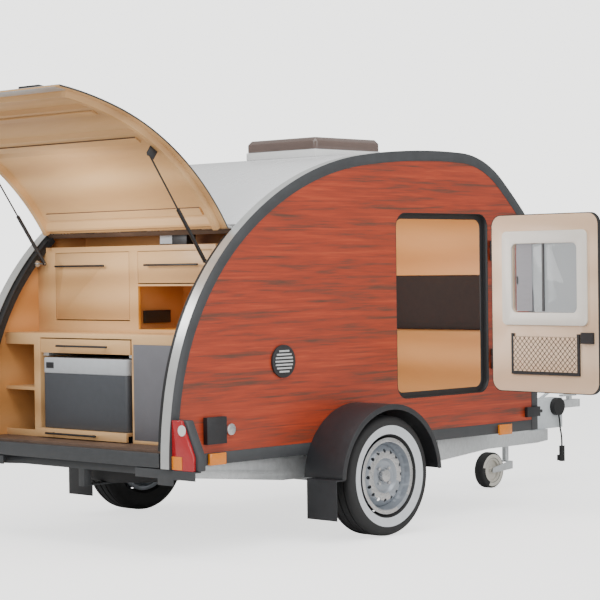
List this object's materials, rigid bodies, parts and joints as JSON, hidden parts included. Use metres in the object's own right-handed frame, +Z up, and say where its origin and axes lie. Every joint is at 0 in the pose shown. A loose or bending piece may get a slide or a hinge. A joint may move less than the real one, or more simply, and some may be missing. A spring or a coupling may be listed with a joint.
{
  "type": "teardrop trailer",
  "caption": "Towed teardrop camping trailer with a curved cabin, side doors, gas-strut rear hatch over a wooden galley, sliding cool box tray and jockey wheel.",
  "frame": {"origin": "centre of the towing ball in the coupling head's socket", "axes": "+X forward along the drawbar to the towing vehicle, +Y to the trailer's left side, +Z up"},
  "size_m": [4.5904, 2.4424, 2.0942],
  "materials": {
    "alloy": "brushed",
    "birch": "clear varnish",
    "black_pad": "matt",
    "black_plastic": "matt",
    "black_seal": "matt",
    "black_steel": "satin",
    "cooler_dark": "satin",
    "floor_wood": "matt",
    "galvanised": "hot-dip galvanised",
    "grey_panel": "satin",
    "grey_plastic": "satin",
    "grey_trim": "satin",
    "lamp_red": "moulded lens",
    "mattress": "woven",
    "rim_silver": "satin silver",
    "rosewood": "satin rosewood laminate",
    "smoky_dome": "tinted",
    "smoky_glass": "tinted",
    "strut_black": "satin",
    "strut_rod": "polished",
    "tyre_rubber": "matt",
    "white_panel": "satin paint",
    "white_plastic": "satin"
  },
  "bodies": {
    "cabin": {"axle": "galvanised", "bulkhead": "birch", "cable": "black_plastic", "cable_coil": "black_plastic", "chassis": "galvanised", "coupling_head": "galvanised", "door_frames": "black_steel", "edge_rails": "alloy", "fenders": "black_plastic", "floor": "floor_wood", "front": "white_panel", "front_pad": "black_pad", "galley_electrics": "black_plastic", "hatch_hinge": "alloy", "hatch_jambs": "black_seal", "hatch_seals": "black_seal", "jockey_tube": "galvanised", "lower_cabinet": "birch", "mattress": "mattress", "overrun_housing": "grey_plastic", "plug": "black_plastic", "roof": "white_panel", "roof_vent_dome": "smoky_dome", "roof_vent_frame": "white_plastic", "side_far": "rosewood", "side_fittings": "black_plastic", "side_near": "rosewood", "side_trims": "grey_trim", "skirt": "alloy", "slide_rails": "galvanised", "spare_wheel": "tyre_rubber", "tail_cases": "white_plastic", "tail_lenses": "lamp_red", "upper_cabinet": "birch", "utility_panel": "grey_panel"},
    "hatch": {"hatch_skin": "alloy", "hatch_frame": "birch", "hatch_fittings": "black_steel"},
    "strut_cylinders": {"strut_cylinders": "strut_black"},
    "strut_rods": {"strut_rods": "strut_rod"},
    "door_near": {"door_near": "birch", "door_edge_near": "black_steel", "door_window_near": "smoky_glass"},
    "door_far": {"door_far": "birch", "door_edge_far": "black_steel", "door_window_far": "smoky_glass"},
    "upper_flap": {"upper_flap": "birch"},
    "locker_flap": {"locker_flap": "birch"},
    "drawer": {"drawer": "birch"},
    "tray": {"tray": "birch", "cool_box": "cooler_dark", "cool_box_lid": "grey_plastic"},
    "wheel_near": {"tyre_near": "tyre_rubber", "rim_near": "rim_silver"},
    "wheel_far": {"tyre_far": "tyre_rubber", "rim_far": "rim_silver"},
    "jockey_stem": {"jockey_stem": "galvanised"},
    "jockey_fork": {"jockey_fork": "galvanised"},
    "jockey_wheel": {"jockey_wheel": "tyre_rubber"}
  },
  "joints": [
    {"name": "hatch_swing", "type": "hinge", "parent": "cabin", "child": "hatch", "pos_m": [-3.56065, 0, 1.0429], "axis": [0, -1, 0], "range_deg": [0, 98]},
    {"name": "strut_swing", "type": "hinge", "parent": "cabin", "child": "strut_cylinders", "pos_m": [-3.64499, 0, 0.88899], "axis": [0, -1, 0], "range_deg": [0, 115.1]},
    {"name": "strut_slide", "type": "slide", "parent": "strut_cylinders", "child": "strut_rods", "axis": [-0.5715, 0, 0.8206], "range_m": [-0.2308, 0]},
    {"name": "near_door_swing", "type": "hinge", "parent": "cabin", "child": "door_near", "pos_m": [-1.725, -0.735, 0.192], "axis": [0, 0, -1], "range_deg": [0, 86]},
    {"name": "far_door_swing", "type": "hinge", "parent": "cabin", "child": "door_far", "pos_m": [-1.725, 0.735, 0.192], "axis": [0, 0, 1], "range_deg": [-86, 0]},
    {"name": "upper_flap_fold", "type": "hinge", "parent": "cabin", "child": "upper_flap", "pos_m": [-3.583, 0, 0.615], "axis": [0, 1, 0], "range_deg": [-90, 0]},
    {"name": "locker_flap_fold", "type": "hinge", "parent": "cabin", "child": "locker_flap", "pos_m": [-3.583, 0, 0.793], "axis": [0, 1, 0], "range_deg": [-90, 0]},
    {"name": "drawer_slide", "type": "slide", "parent": "cabin", "child": "drawer", "axis": [1, 0, 0], "range_m": [-0.3, 0]},
    {"name": "tray_slide", "type": "slide", "parent": "cabin", "child": "tray", "axis": [1, 0, 0], "range_m": [-0.38, 0]},
    {"name": "near_wheel_spin", "type": "hinge", "parent": "cabin", "child": "wheel_near", "pos_m": [-2.8, -0.87, -0.147], "axis": [0, 1, 0], "continuous": true},
    {"name": "far_wheel_spin", "type": "hinge", "parent": "cabin", "child": "wheel_far", "pos_m": [-2.8, 0.87, -0.147], "axis": [0, 1, 0], "continuous": true},
    {"name": "jockey_wind", "type": "slide", "parent": "cabin", "child": "jockey_stem", "axis": [0, 0, 1], "range_m": [0, 0.06]},
    {"name": "jockey_swivel", "type": "hinge", "parent": "jockey_stem", "child": "jockey_fork", "pos_m": [-0.689, 0, -0.286], "axis": [0, 0, 1], "continuous": true},
    {"name": "jockey_wheel_spin", "type": "hinge", "parent": "jockey_fork", "child": "jockey_wheel", "pos_m": [-0.843, 0, -0.333], "axis": [0, 1, 0], "continuous": true}
  ],
  "couplings": [
    {"joint": "strut_swing", "follows": "hatch_swing", "ratio": 1.1692},
    {"joint": "strut_slide", "follows": "hatch_swing", "m_per_rad": -0.13435}
  ]
}
